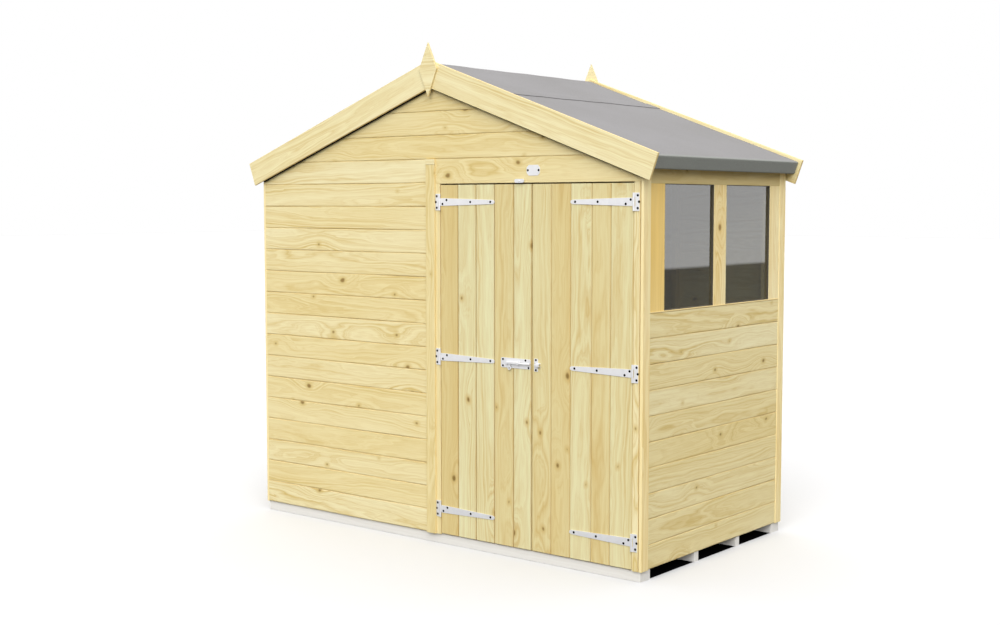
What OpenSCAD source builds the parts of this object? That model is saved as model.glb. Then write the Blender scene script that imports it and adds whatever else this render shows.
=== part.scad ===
// Wooden garden shed with double doors, a glazed end wall and a felted apex roof.
// Millimetres. X runs along the door front, Y runs from the front to the back, Z is up.
// The origin lies on the ground under the middle of the shed.

/* [Overall] */
// Width over the corner trims
shed_w = 2438; // [2300:1:2600]
// Depth over the front and back cladding
shed_d = 1306; // [1270:1:1500]
// Height of the walls from their lower edge to the eaves
wall_h = 1840; // [1800:1:2000]
// Slope of the roof in degrees
pitch = 20; // [15:0.5:25]

/* [Base] */
// Height of the bearers
bearer_h = 48; // [40:1:75]
// Width of the front and back bearers
outer_bearer_w = 78; // [50:1:100]
// Width of the two inner bearers
inner_bearer_w = 37; // [30:1:60]
// Set-back of the bearers from the outside of the walls
bearer_inset = 10; // [5:1:12]
// Centre of the second bearer, behind the front face
bearer_2_y = 487; // [400:1:550]
// Centre of the third bearer, behind the front face
bearer_3_y = 875; // [800:1:950]
// Thickness of the floor boards
floor_t = 18; // [12:1:25]
// Set-back of the floor's front edge behind the front face
floor_setback = 20; // [18:1:30]

/* [Walls] */
// Thickness of the cladding boards
clad_t = 12; // [10:0.5:13]
// Depth of the wall framing behind the cladding
stud_d = 38; // [30:1:45]
// Width of the studs and rails
stud_w = 28; // [22:1:45]
// Room left at the ends of a rail between two studs
rail_play = 1; // [0.5:0.5:2]
// Width of the corner trims
trim_w = 58; // [55:1:80]
// Thickness of the corner trims
trim_t = 15; // [12:1:20]
// Width of the strips that cover the panel joints
strip_w = 58; // [44:1:58]
// Thickness of the strips that cover the panel joints
strip_t = 9; // [8:0.5:10]

/* [Windows] */
// Front edge of the first pane, behind the front face
pane_y = 176; // [170:1:220]
// Distance of the second pane from the back face
pane_back = 158; // [140:1:190]
// Distance of the panes from the eaves
pane_drop = 127; // [100:1:160]
// Height of the sill over the lower edge of the wall
sill_h = 1150; // [1100:1:1160]
// Width of the board between the panes
mullion_w = 114; // [95:1:120]
// Thickness of the glass
glass_t = 3; // [2:0.5:5]
// How far the glass runs behind the boards
glass_lap = 10; // [6:1:14]

/* [Doorway] */
// Width of the panel that holds the doors
door_panel_w = 1214; // [1200:1:1220]
// Width of the post between the wall and the left door
left_post_w = 55; // [55:1:65]
// Width of the post beside the right door
right_post_w = 32; // [31:1:45]
// Height of the doorway over the lower edge of the wall
doorway_h = 1721; // [1690:1:1730]
// Room round each door leaf
door_gap = 6; // [5:0.5:8]
// Thickness of the door boards
leaf_t = 12; // [10:0.5:13]
// Thickness of the ledges and braces behind the doors
ledge_t = 20; // [15:1:25]
// Width of the ledges
ledge_w = 95; // [80:1:110]
// Width of the braces
brace_w = 70; // [50:1:80]
// Distance of the ledges from the edges of a leaf
ledge_inset = 45; // [40:1:60]

/* [Hinges] */
// Height of the lowest hinge over the lower edge of the wall
hinge_low = 128; // [100:1:160]
// Drop of the highest hinge below the head of the doorway
hinge_drop = 88; // [70:1:110]
// Height of a hinge plate
plate_h = 80; // [70:1:100]
// Width of a hinge plate, from the pin to its outer edge
plate_w = 28; // [24:1:30]
// Thickness of the hinge metal
hinge_t = 2.5; // [2:0.5:3]
// Room between the tip of a strap and the bolt's plate
strap_gap = 39.5; // [20:0.5:80]
// Width of a strap at its root
strap_root = 36; // [30:1:44]
// Width of a strap near its tip
strap_tip = 20; // [16:1:24]
// Radius of the knuckles
knuckle_r = 5; // [5:0.25:6]
// Radius of the hinge pin
pin_r = 2.5; // [2:0.25:3]
// Room between a hinge plate and the knuckle of its strap
knuckle_gap = 2; // [1:0.5:3]
// Running clearance round the pin and between the knuckles
hinge_play = 0.5; // [0.3:0.1:0.8]

/* [Fittings] */
// Length of the bolt's base plate
bolt_plate_w = 176; // [160:1:190]
// Height of the bolt's base plate
bolt_plate_h = 47; // [42:1:55]
// Size of the cut corners of the bolt's base plate
bolt_plate_cut = 5; // [3:0.5:8]
// Thickness of the fittings' sheet metal
fitting_t = 2; // [1.5:0.5:2.5]
// Diameter of the bolt
bolt_d = 10; // [8:1:12]
// Distance of the bolt plate from the meeting edge of the left door
bolt_inset = 2; // [1:0.5:6]
// Running clearance round the bolt
bolt_play = 0.6; // [0.4:0.1:1]
// Travel of the bolt
bolt_throw = 40; // [36:1:42]
// Distance of the bolt's channel from the outer end of its plate
channel_x = 38; // [34:1:44]
// Length of each closed end of the channel
channel_end = 10; // [8:1:12]
// Height of the channel over its two feet
channel_h = 30; // [26:1:34]
// Room between the padlock lug and the ends of its slot
lug_gap = 2; // [1:0.5:3]
// Width of the padlock lug where it leaves the bolt
lug_web = 10; // [8:1:12]
// Diameter of the eye of the padlock lug
lug_d = 20; // [16:1:22]
// Drop of the padlock lug below the bolt
lug_drop = 33; // [31:1:36]
// Thickness of the padlock lug
lug_t = 3; // [2:0.5:4]
// Diameter of the padlock hole
lug_hole_d = 8; // [6:0.5:10]
// Length of the keeper's feet along the bolt
keeper_w = 22; // [18:1:26]
// Height of the keeper over its two feet
keeper_h = 60; // [54:1:66]
// Distance of the keeper from the edge of the right door
keeper_inset = 13; // [10:1:16]
// Set-back of the keeper's loop from the near edge of its feet
keeper_step = 9; // [6:1:12]
// Length of the keeper's loop beyond its feet
keeper_nose = 14; // [8:1:18]
// Length of the turn button
button_l = 55; // [50:1:60]
// Width of the turn button
button_w = 18; // [15:1:20]
// Thickness of the turn button
button_t = 6; // [4:0.5:8]
// Radius of the turn button's screw
screw_r = 2.5; // [2:0.5:3]
// Room between the turn button and the door
button_gap = 5; // [5:0.5:6]
// Height of the turn button's pivot over the head of the doorway
button_up = 9; // [9:0.5:11]
// Distance of the turn button from the meeting edge of the left door
button_x = 64; // [50:1:90]
// Width of the plate over the doors
badge_w = 76; // [60:1:90]
// Height of the plate over the doors
badge_h = 49; // [40:1:56]
// Size of the cut corners of the plate over the doors
badge_cut = 12; // [8:1:16]
// Thickness of the plate over the doors
badge_t = 1.5; // [1:0.5:2]
// Distance of the plate's centre from the middle of the doorway
badge_x = 8; // [0:1:20]
// Height of the plate's centre over the head of the doorway
badge_up = 57; // [50:1:60]

/* [Roof] */
// Thickness of the roof boards
roof_t = 12; // [10:1:18]
// Room between the roof boards and the walls, and round the ridge sheet of felt
roof_gap = 0.2; // [0.1:0.1:0.5]
// Overhang of the roof boards beyond the side walls, down the slope
eave_out = 59; // [52:1:80]
// Overhang of the roof boards beyond the front and back faces
gable_out = 12; // [8:1:20]
// Depth of the rails and purlins under the roof boards
purlin_d = 46; // [38:1:50]
// Width of the rails and purlins
purlin_w = 34; // [28:1:36]
// Distance of the ridge rails from the ridge, down the slope
ridge_rail_s = 40; // [30:1:60]
// Distance of the middle purlins from the ridge, down the slope
purlin_s = 650; // [550:1:750]
// Depth of the gable rafters
rafter_d = 45; // [38:1:55]
// Thickness of the roofing felt
felt_t = 3; // [2:0.5:4]
// Lower edge of the ridge sheet of felt, down the slope
seam_s = 482; // [420:1:540]
// Overlap of the ridge sheet over the lower sheet
seam_lap = 75; // [50:1:100]
// Depth of the felt turned down over the eave
felt_flap = 64; // [50:1:66]

/* [Bargeboards] */
// Depth of the bargeboards
barge_d = 125; // [110:1:130]
// Thickness of the bargeboards
barge_t = 12; // [10:1:18]
// Height of the bargeboards over the felt
barge_proud = 15; // [10:1:18]
// Overhang of the bargeboards beyond the roof boards, down the slope
barge_out = 20; // [12:1:25]
// Width of the finials
finial_w = 114; // [100:1:130]
// Height of the finials
finial_h = 259; // [240:1:280]
// Height of a finial's widest point over its lower tip
finial_waist = 132; // [120:1:140]
// Height of a finial's upper tip over the peak of the bargeboards
finial_up = 82; // [70:1:95]
// Thickness of the finials
finial_t = 10; // [8:1:14]

/* [Hidden] */
$fn = 48;
pine = "#e3d49a";
pine_shade = "#d8c684";
bare_wood = "#e4e2da";
felt_grey = "#b0afaf";
zinc = "#e6e6ea";
glass = "#9c9a94";

// Faces and levels that several pieces share
half_w = shed_w / 2;
front_y = -shed_d / 2;
back_y = shed_d / 2;
frame_x = half_w - trim_t;
wall_t = clad_t + stud_d;
sole_z = bearer_h;
floor_z = sole_z + floor_t;
eave_z = sole_z + wall_h;
ridge_z = eave_z + half_w * tan(pitch);
side_y0 = front_y + wall_t;
side_y1 = back_y - wall_t;
board_x = frame_x + clad_t;
board_y0 = front_y + trim_w;
board_y1 = back_y - trim_w;

// Panes, from the front to the back, which share what the mullion leaves of the wall
pane_w = (shed_d - pane_y - mullion_w - pane_back) / 2;
pane_ys = [front_y + pane_y, front_y + pane_y + pane_w + mullion_w];
sill_z = sole_z + sill_h;
pane_z1 = eave_z - pane_drop;

// Doorway and leaves
joint_x = frame_x - door_panel_w;
doorway_x0 = joint_x + left_post_w;
doorway_x1 = frame_x - right_post_w;
doorway_mid = (doorway_x0 + doorway_x1) / 2;
head_z = sole_z + doorway_h;
leaf_w = (doorway_x1 - doorway_x0 - 3 * door_gap) / 2;
leaf_z0 = sole_z + door_gap;
leaf_z1 = head_z - door_gap;
left_leaf_x = doorway_x0 + door_gap;
right_leaf_x = doorway_x1 - door_gap - leaf_w;

// Hinges: the pins stand in front of the gap at the outer edge of each leaf
hinge_y = front_y - knuckle_r;
left_pin_x = doorway_x0 + door_gap / 2;
right_pin_x = doorway_x1 - door_gap / 2;
hinge_z0 = sole_z + hinge_low;
hinge_z2 = head_z - hinge_drop;
hinge_z1 = (hinge_z0 + hinge_z2) / 2;
hinge_zs = [hinge_z0, hinge_z1, hinge_z2];

// Bolt: its plate ends at the meeting edge of the left leaf, and the straps end short of it
bolt_x1 = left_leaf_x + leaf_w - bolt_inset;
bolt_x0 = bolt_x1 - bolt_plate_w;
strap_len = bolt_x0 - strap_gap - left_pin_x;
bolt_z = hinge_z1;
bolt_y = front_y - fitting_t - bolt_play - bolt_d / 2;
tail_x = bolt_x0 + channel_x;
slot_w = lug_web + bolt_throw + 2 * lug_gap;
lug_x = tail_x + channel_end + lug_gap;
lug_cx = lug_x + lug_web / 2;
loop_in = bolt_d / 2 + bolt_play;
loop_out = loop_in + fitting_t;

// Pivot of the turn button
button_cx = left_leaf_x + leaf_w - button_x;
button_cz = head_z + button_up;

// Roof: lengths down the slope start under the ridge, heights start under the boards
roof_z = ridge_z + roof_gap;
roof_s = half_w / cos(pitch) + eave_out;
barge_s = roof_s + barge_out;
felt_top = roof_t + felt_t;
barge_top = felt_top + barge_proud;
barge_low = barge_top - barge_d;
roof_y0 = front_y - gable_out;
roof_y1 = back_y + gable_out;
tie_z = eave_z + stud_w;
barge_peak_z = roof_z + barge_top / cos(pitch);
finial_z0 = barge_peak_z + finial_up - finial_h;

// Height of the walls' tops at x, and the x where they have the height z
function under(x) = eave_z + (half_w - abs(x)) * tan(pitch);
function under_x(z) = half_w - (z - eave_z) / tan(pitch);
// Place in X and Z of a point p on a slope: p[0] down the slope, p[1] over the boards' underside
function slope_point(side, p) =
  [side * (p[0] * cos(pitch) + p[1] * sin(pitch)), roof_z - p[0] * sin(pitch) + p[1] * cos(pitch)];
// Where a vertical cut through the ridge meets the height h over the boards' underside
function ridge_cut(h) = -h * tan(pitch);

module block(x0, x1, y0, y1, z0, z1) {
  translate([x0, y0, z0]) cube([x1 - x0, y1 - y0, z1 - z0]);
}

// Carries an outline in X and Z from y0 to y1
module along_y(y0, y1) {
  translate([0, y1, 0]) rotate([90, 0, 0]) linear_extrude(y1 - y0) children();
}

// Lays an outline on a roof slope: first number down the slope, second over the underside
module on_slope(side) {
  mirror([side < 0 ? 1 : 0, 0]) translate([0, roof_z]) rotate(-pitch) children();
}

// Wall board whose top follows the underside of the roof
module eave_board(side, x0, x1, y0, y1, z0) {
  along_y(y0, y1) mirror([side < 0 ? 1 : 0, 0])
    polygon([[x0, z0], [x1, z0], [x1, under(x1)], [x0, under(x0)]]);
}

module bearer(yc, w) {
  end = half_w - bearer_inset;
  color(bare_wood) block(-end, end, yc - w / 2, yc + w / 2, 0, bearer_h);
}
module front_bearer() { bearer(front_y + bearer_inset + outer_bearer_w / 2, outer_bearer_w); }
module second_bearer() { bearer(front_y + bearer_2_y, inner_bearer_w); }
module third_bearer() { bearer(front_y + bearer_3_y, inner_bearer_w); }
module back_bearer() { bearer(back_y - bearer_inset - outer_bearer_w / 2, outer_bearer_w); }

module floor() {
  color(pine_shade)
    block(-frame_x, frame_x, front_y + floor_setback, back_y - clad_t, sole_z, floor_z);
}

// Front
module front_wall() {
  color(pine) block(-frame_x, joint_x, front_y, front_y + clad_t, sole_z, eave_z);
}
module door_posts() {
  color(pine) {
    block(joint_x, doorway_x0, front_y, front_y + clad_t, sole_z, head_z);
    block(doorway_x1, frame_x, front_y, front_y + clad_t, sole_z, head_z);
  }
}
module door_header() {
  color(pine) block(joint_x, frame_x, front_y, front_y + clad_t, head_z, eave_z);
}
module gable_boards(y0) {
  color(pine) along_y(y0, y0 + clad_t)
    polygon([[-frame_x, eave_z], [frame_x, eave_z], [frame_x, under(frame_x)], [0, ridge_z],
      [-frame_x, under(frame_x)]]);
}
module front_gable() { gable_boards(front_y); }

// Studs at the given left edges, with rails between them at the given lower edges
module panel_frame(xs, zs, y0, top) {
  for (x = xs) block(x, x + stud_w, y0, y0 + stud_d, floor_z, top);
  for (i = [0 : len(xs) - 2], z = zs)
    block(xs[i] + stud_w + rail_play, xs[i + 1] - rail_play, y0, y0 + stud_d, z, z + stud_w);
}
module front_frame() {
  y0 = front_y + clad_t;
  last = joint_x - rail_play - stud_w;
  color(pine_shade) {
    panel_frame([-frame_x, (last - frame_x) / 2, last], [floor_z, eave_z - stud_w], y0, eave_z);
    block(joint_x, doorway_x0, y0, y0 + stud_d, floor_z, head_z - rail_play);
    block(doorway_x1, frame_x, y0, y0 + stud_d, floor_z, head_z - rail_play);
    block(joint_x, frame_x, y0, y0 + stud_d, head_z, head_z + stud_w);
    block(joint_x, frame_x, y0, y0 + stud_d, eave_z - stud_w, eave_z);
  }
}

// Sides, with the cladding between the corner trims
module left_wall() {
  color(pine) eave_board(-1, frame_x, board_x, board_y0, board_y1, sole_z);
}
// Upright and lying members of a side wall, against the inside of its cladding
module side_stud(side, y0, y1, z0) {
  eave_board(side, frame_x - stud_d, frame_x, y0, y1, z0);
}
module side_rail(side, y0, y1, z0) {
  xs = [frame_x - stud_d, frame_x] * side;
  block(min(xs), max(xs), y0, y1, z0, z0 + stud_w);
}
module left_frame() {
  ys = [side_y0, (side_y0 + side_y1 - stud_w) / 2, side_y1 - stud_w];
  color(pine_shade) {
    for (y = ys) side_stud(-1, y, y + stud_w, floor_z);
    for (i = [0, 1]) {
      side_rail(-1, ys[i] + stud_w + rail_play, ys[i + 1] - rail_play, floor_z);
      side_stud(-1, ys[i] + stud_w + rail_play, ys[i + 1] - rail_play, eave_z - stud_w);
    }
  }
}
module right_wall() {
  color(pine) block(frame_x, board_x, board_y0, board_y1, sole_z, sill_z);
}
module window_boards() {
  starts = [board_y0, pane_ys[0] + pane_w, pane_ys[1] + pane_w];
  ends = [pane_ys[0], pane_ys[1], board_y1];
  color(pine) for (i = [0 : 2])
    block(frame_x, board_x, starts[i], ends[i], sill_z, pane_z1);
}
module window_header() {
  color(pine) eave_board(1, frame_x, board_x, board_y0, board_y1, pane_z1);
}
module right_frame() {
  mid = (pane_ys[0] + pane_w + pane_ys[1] - stud_w) / 2;
  jambs = [pane_ys[0] - glass_lap - rail_play - stud_w, pane_ys[1] + pane_w + glass_lap + rail_play];
  ys = [side_y0, mid, side_y1 - stud_w];
  rails = [floor_z, sill_z - glass_lap - rail_play - stud_w];
  color(pine_shade) {
    for (y = ys) side_stud(1, y, y + stud_w, floor_z);
    for (i = [0, 1]) {
      for (z = rails) side_rail(1, ys[i] + stud_w + rail_play, ys[i + 1] - rail_play, z);
      side_stud(1, ys[i] + stud_w + rail_play, ys[i + 1] - rail_play, pane_z1 + glass_lap + rail_play);
    }
    for (y = jambs)
      block(frame_x - stud_d, frame_x, y, y + stud_w, sill_z - glass_lap, pane_z1 + glass_lap);
  }
}
module window_panes() {
  color(glass) for (y = pane_ys)
    block(frame_x - glass_t, frame_x, y - glass_lap, y + pane_w + glass_lap,
      sill_z - glass_lap, pane_z1 + glass_lap);
}

// Back
module back_wall() {
  color(pine) block(-frame_x, frame_x, back_y - clad_t, back_y, sole_z, eave_z);
}
module back_gable() { gable_boards(back_y - clad_t); }
module back_frame() {
  last = frame_x - stud_w;
  color(pine_shade) panel_frame([for (i = [0 : 4]) -frame_x + i * (last + frame_x) / 4],
    [floor_z, eave_z - stud_w], back_y - wall_t, eave_z);
}

// Triangles that carry the roof boards behind both gables
module gable_frame() {
  top = tie_z + rail_play;
  xk = stud_w / 2 + rail_play;
  drop = rafter_d / cos(pitch);
  polygon([[-frame_x, eave_z], [frame_x, eave_z], [frame_x, under(frame_x)], [under_x(tie_z), tie_z],
    [-under_x(tie_z), tie_z], [-frame_x, under(frame_x)]]);
  polygon([[-stud_w / 2, top], [stud_w / 2, top], [stud_w / 2, under(stud_w / 2)], [0, ridge_z],
    [-stud_w / 2, under(stud_w / 2)]]);
  for (m = [0, 1]) mirror([m, 0])
    polygon([[xk, under(xk)], [under_x(top), top], [under_x(top + drop), top], [xk, under(xk) - drop]]);
}
module gable_frames() {
  color(pine_shade) {
    along_y(front_y + clad_t, front_y + wall_t) gable_frame();
    along_y(back_y - wall_t, back_y - clad_t) gable_frame();
  }
}

module corner_trims() {
  color(pine) for (side = [-1, 1], y = [front_y, back_y - trim_w])
    eave_board(side, frame_x, half_w, y, y + trim_w, sole_z);
}
module cover_strips() {
  color(pine) {
    block(joint_x - strip_w / 2, joint_x + strip_w / 2, front_y - strip_t, front_y, sole_z, eave_z);
    block(-strip_w / 2, strip_w / 2, back_y, back_y + strip_t, sole_z, eave_z);
  }
}

// Roof
module roof_boards(side) {
  color(pine_shade) along_y(roof_y0, roof_y1) on_slope(side)
    polygon([[0, 0], [roof_s, 0], [roof_s, roof_t], [ridge_cut(roof_t), roof_t]]);
}
module left_roof() { roof_boards(-1); }
module right_roof() { roof_boards(1); }
module roof_rails() {
  color(pine_shade) for (side = [-1, 1]) {
    along_y(roof_y0, roof_y1) on_slope(side)
      translate([roof_s - purlin_w, -purlin_d]) square([purlin_w, purlin_d]);
    along_y(side_y0 + rail_play, side_y1 - rail_play) on_slope(side)
      for (s = [ridge_rail_s, purlin_s]) translate([s, -purlin_d]) square([purlin_w, purlin_d]);
  }
}
// Lower sheet: runs under the ridge sheet and turns down over the eave
module lower_felt(side) {
  s0 = seam_s - seam_lap;
  low = felt_top - felt_flap;
  color(felt_grey) along_y(roof_y0, roof_y1) on_slope(side)
    polygon([[s0, roof_t], [roof_s, roof_t], [roof_s, low], [roof_s + felt_t, low],
      [roof_s + felt_t, felt_top], [s0, felt_top]]);
}
module left_felt() { lower_felt(-1); }
module right_felt() { lower_felt(1); }
// Ridge sheet: lies on the boards on both slopes, then steps up over the lower sheets
module ridge_felt() {
  s0 = seam_s - seam_lap - roof_gap;
  low = roof_t + roof_gap;
  step = low + felt_t;
  edge = [[s0, low], [s0, step], [seam_s, step], [seam_s, step + felt_t],
    [s0 - felt_t, step + felt_t], [s0 - felt_t, step]];
  right = [for (p = edge) slope_point(1, p)];
  left = [for (i = [len(edge) - 1 : -1 : 0]) slope_point(-1, edge[i])];
  low_ridge = [0, roof_z + low / cos(pitch)];
  high_ridge = [0, roof_z + step / cos(pitch)];
  color(felt_grey) along_y(roof_y0, roof_y1) polygon(concat([low_ridge], right, [high_ridge], left));
}

module bargeboard(side, y0) {
  color(pine) along_y(y0, y0 + barge_t) on_slope(side)
    polygon([[ridge_cut(barge_low), barge_low], [barge_s, barge_low], [barge_s, barge_top],
      [ridge_cut(barge_top), barge_top]]);
}
module front_left_bargeboard() { bargeboard(-1, roof_y0 - barge_t); }
module front_right_bargeboard() { bargeboard(1, roof_y0 - barge_t); }
module back_left_bargeboard() { bargeboard(-1, roof_y1); }
module back_right_bargeboard() { bargeboard(1, roof_y1); }

module finial(y0) {
  waist_z = finial_z0 + finial_waist;
  color(pine) along_y(y0, y0 + finial_t)
    polygon([[0, finial_z0], [finial_w / 2, waist_z], [0, finial_z0 + finial_h], [-finial_w / 2, waist_z]]);
}
module front_finial() { finial(roof_y0 - barge_t - finial_t); }
module back_finial() { finial(roof_y1 + barge_t); }

// Doors
module leaf(x0) {
  color(pine) block(x0, x0 + leaf_w, front_y, front_y + leaf_t, leaf_z0, leaf_z1);
}
module left_door() { leaf(left_leaf_x); }
module right_door() { leaf(right_leaf_x); }

// Ledges behind the hinges and a brace rising from the hinge side in each bay
module ledges(x0, hinge_side) {
  a = ledge_inset;
  b = leaf_w - ledge_inset;
  foot = hinge_side < 0 ? a : b;
  head = hinge_side < 0 ? b - brace_w : a + brace_w;
  y0 = front_y + leaf_t;
  color(pine_shade) translate([x0, 0]) {
    for (z = hinge_zs) block(a, b, y0, y0 + ledge_t, z - ledge_w / 2, z + ledge_w / 2);
    for (i = [0, 1]) {
      z0 = hinge_zs[i] + ledge_w / 2 + rail_play;
      z1 = hinge_zs[i + 1] - ledge_w / 2 - rail_play;
      along_y(y0, y0 + ledge_t)
        polygon([[foot, z0], [foot - hinge_side * brace_w, z0],
          [head - hinge_side * brace_w, z1], [head, z1]]);
    }
  }
}
module left_door_ledges() { ledges(left_leaf_x, -1); }
module right_door_ledges() { ledges(right_leaf_x, 1); }

// Tee hinges: the pin is the local Z axis and the wood's face lies at local y = knuckle_r
module hinge_strap() {
  difference() {
    union() {
      cylinder(r = knuckle_r, h = strap_root, center = true);
      translate([0, knuckle_r, 0]) rotate([90, 0, 0]) linear_extrude(hinge_t)
        polygon([[0, -strap_root / 2], [strap_root, -strap_root / 2],
          [strap_len - strap_tip / 2, -strap_tip / 2], [strap_len, -strap_tip / 4],
          [strap_len, strap_tip / 4], [strap_len - strap_tip / 2, strap_tip / 2],
          [strap_root, strap_root / 2], [0, strap_root / 2]]);
    }
    cylinder(r = pin_r + hinge_play, h = plate_h, center = true);
  }
}
module hinge_plate() {
  neck = knuckle_r + knuckle_gap;
  ear_h = (plate_h - strap_root) / 2 - hinge_play;
  translate([-plate_w, knuckle_r - hinge_t, -plate_h / 2]) cube([plate_w - neck, hinge_t, plate_h]);
  for (m = [0, 1]) mirror([0, 0, m]) translate([0, 0, plate_h / 2 - ear_h]) {
    cylinder(r = knuckle_r, h = ear_h);
    translate([-plate_w, knuckle_r - hinge_t, 0]) cube([plate_w, hinge_t, ear_h]);
  }
  cylinder(r = pin_r, h = plate_h, center = true);
}
module at_hinges(pin_x, side) {
  color(zinc) for (z = hinge_zs) translate([pin_x, hinge_y, z]) mirror([side > 0 ? 1 : 0, 0, 0]) children();
}
module left_hinge_straps() { at_hinges(left_pin_x, -1) hinge_strap(); }
module left_hinge_plates() { at_hinges(left_pin_x, -1) hinge_plate(); }
module right_hinge_straps() { at_hinges(right_pin_x, 1) hinge_strap(); }
module right_hinge_plates() { at_hinges(right_pin_x, 1) hinge_plate(); }

// Pressed metal over the bolt, as sections in local Y and Z round the bolt's axis: the base is the face
// that the feet stand on, and the outer shoulders of the bridge are bevelled.
function loop_upper(base, foot_h) =
  [[-loop_out, loop_in], [-loop_in, loop_out], [base - fitting_t, loop_out],
    [base - fitting_t, foot_h / 2], [base, foot_h / 2], [base, loop_in], [-loop_in, loop_in]];
function upside_down(points) = [for (i = [len(points) - 1 : -1 : 0]) [points[i][0], -points[i][1]]];
module loop_section(x0, w, points) {
  translate([x0, bolt_y, bolt_z]) rotate([90, 0, 90]) linear_extrude(w) polygon(points);
}
module bolt_loop(x0, w, foot_h, base_y) {
  upper = loop_upper(base_y - bolt_y, foot_h);
  loop_section(x0, w, concat(upper, upside_down(upper)));
}
// The same with its lower wall cut away, so that a lug can pass
module open_loop(x0, w, foot_h, base_y) {
  lips = [[-loop_in, -loop_in / 2], [-loop_out, -loop_in / 2]];
  loop_section(x0, w, concat(loop_upper(base_y - bolt_y, foot_h), lips));
}
// Outline of a plate with its corners cut off
module cut_plate(width, height, c) {
  w = width / 2;
  h = height / 2;
  polygon([[c - w, -h], [w - c, -h], [w, c - h], [w, h - c],
    [w - c, h], [c - w, h], [-w, h - c], [-w, c - h]]);
}
module bolt_plate() {
  base_y = front_y - fitting_t;
  color(zinc) {
    translate([(bolt_x0 + bolt_x1) / 2, 0, bolt_z]) along_y(base_y, front_y)
      cut_plate(bolt_plate_w, bolt_plate_h, bolt_plate_cut);
    bolt_loop(tail_x, channel_end, channel_h, base_y);
    open_loop(tail_x + channel_end, slot_w, channel_h, base_y);
    bolt_loop(tail_x + channel_end + slot_w, channel_end, channel_h, base_y);
  }
}
module bolt_keeper() {
  x0 = right_leaf_x + keeper_inset;
  nose_h = 2 * (loop_out + fitting_t);
  color(zinc) {
    bolt_loop(x0 + keeper_step, keeper_w - keeper_step, keeper_h, front_y);
    bolt_loop(x0 + keeper_w, keeper_nose, nose_h, front_y);
    for (m = [0, 1]) translate([0, 0, bolt_z]) mirror([0, 0, m])
      block(x0, x0 + keeper_step, front_y - fitting_t, front_y, loop_out, keeper_h / 2);
  }
}
module bolt() {
  eye_z = bolt_z - lug_drop + lug_d / 2;
  color(zinc) difference() {
    union() {
      translate([tail_x, bolt_y, bolt_z]) rotate([0, 90, 0]) cylinder(d = bolt_d, h = bolt_x1 - tail_x);
      block(lug_x, lug_x + lug_web, bolt_y - lug_t / 2, bolt_y + lug_t / 2, eye_z, bolt_z);
      translate([lug_cx, bolt_y, eye_z]) rotate([90, 0, 0]) cylinder(d = lug_d, h = lug_t, center = true);
    }
    translate([lug_cx, bolt_y, eye_z]) rotate([90, 0, 0])
      cylinder(d = lug_hole_d, h = 2 * lug_t, center = true);
  }
}

// Turn button: lies level when it is off the door and stands upright when it holds the door
module turn_button() {
  end = (button_l - button_w) / 2;
  color(zinc) translate([button_cx, front_y - button_gap, button_cz]) rotate([90, 0, 0]) difference() {
    union() {
      for (m = [-1, 1]) translate([m * end, 0, 0]) cylinder(d = button_w, h = button_t);
      translate([-end, -button_w / 2, 0]) cube([2 * end, button_w, button_t]);
    }
    cylinder(r = screw_r + hinge_play, h = 3 * button_t, center = true);
  }
}
module button_screw() {
  washer = button_gap - hinge_play;
  color(zinc) translate([button_cx, front_y, button_cz]) rotate([90, 0, 0]) {
    cylinder(r = 2 * screw_r, h = washer);
    cylinder(r = screw_r, h = button_gap + button_t + hinge_play);
    translate([0, 0, button_gap + button_t + hinge_play])
      cylinder(r1 = 2 * screw_r, r2 = screw_r, h = screw_r);
  }
}
module badge_plate() {
  color(zinc) translate([doorway_mid + badge_x, 0, head_z + badge_up]) along_y(front_y - badge_t, front_y)
    cut_plate(badge_w, badge_h, badge_cut);
}

front_bearer();
second_bearer();
third_bearer();
back_bearer();
floor();
front_wall();
door_posts();
door_header();
front_gable();
front_frame();
left_wall();
left_frame();
right_wall();
window_boards();
window_header();
right_frame();
window_panes();
back_wall();
back_gable();
back_frame();
gable_frames();
corner_trims();
cover_strips();
left_roof();
right_roof();
roof_rails();
left_felt();
right_felt();
ridge_felt();
front_left_bargeboard();
front_right_bargeboard();
back_left_bargeboard();
back_right_bargeboard();
front_finial();
back_finial();
left_door();
left_door_ledges();
left_hinge_straps();
left_hinge_plates();
right_door();
right_door_ledges();
right_hinge_straps();
right_hinge_plates();
bolt_plate();
bolt();
bolt_keeper();
turn_button();
button_screw();
badge_plate();
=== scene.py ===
# A wooden garden shed: shiplap walls on a frame, boarded double doors on tee hinges, two fixed panes in the
# right-hand wall and an apex roof under grey felt. Metres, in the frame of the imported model.
import math
import bpy
import numpy as np
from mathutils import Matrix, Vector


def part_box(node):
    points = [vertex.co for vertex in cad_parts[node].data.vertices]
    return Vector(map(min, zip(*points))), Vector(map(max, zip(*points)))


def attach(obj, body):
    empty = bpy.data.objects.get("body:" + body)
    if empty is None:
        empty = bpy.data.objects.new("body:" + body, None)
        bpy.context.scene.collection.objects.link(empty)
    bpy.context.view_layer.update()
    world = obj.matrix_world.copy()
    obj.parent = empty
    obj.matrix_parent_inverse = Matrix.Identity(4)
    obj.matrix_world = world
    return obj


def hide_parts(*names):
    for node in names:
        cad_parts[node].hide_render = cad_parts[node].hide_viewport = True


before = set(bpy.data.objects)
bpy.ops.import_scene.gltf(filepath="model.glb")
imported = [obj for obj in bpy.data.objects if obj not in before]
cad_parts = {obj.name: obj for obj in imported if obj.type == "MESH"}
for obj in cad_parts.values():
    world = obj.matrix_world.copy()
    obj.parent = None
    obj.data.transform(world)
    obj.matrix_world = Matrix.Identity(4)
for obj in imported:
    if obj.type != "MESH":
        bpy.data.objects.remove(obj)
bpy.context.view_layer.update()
scene = bpy.context.scene
scene.view_settings.view_transform = "Standard"


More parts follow.
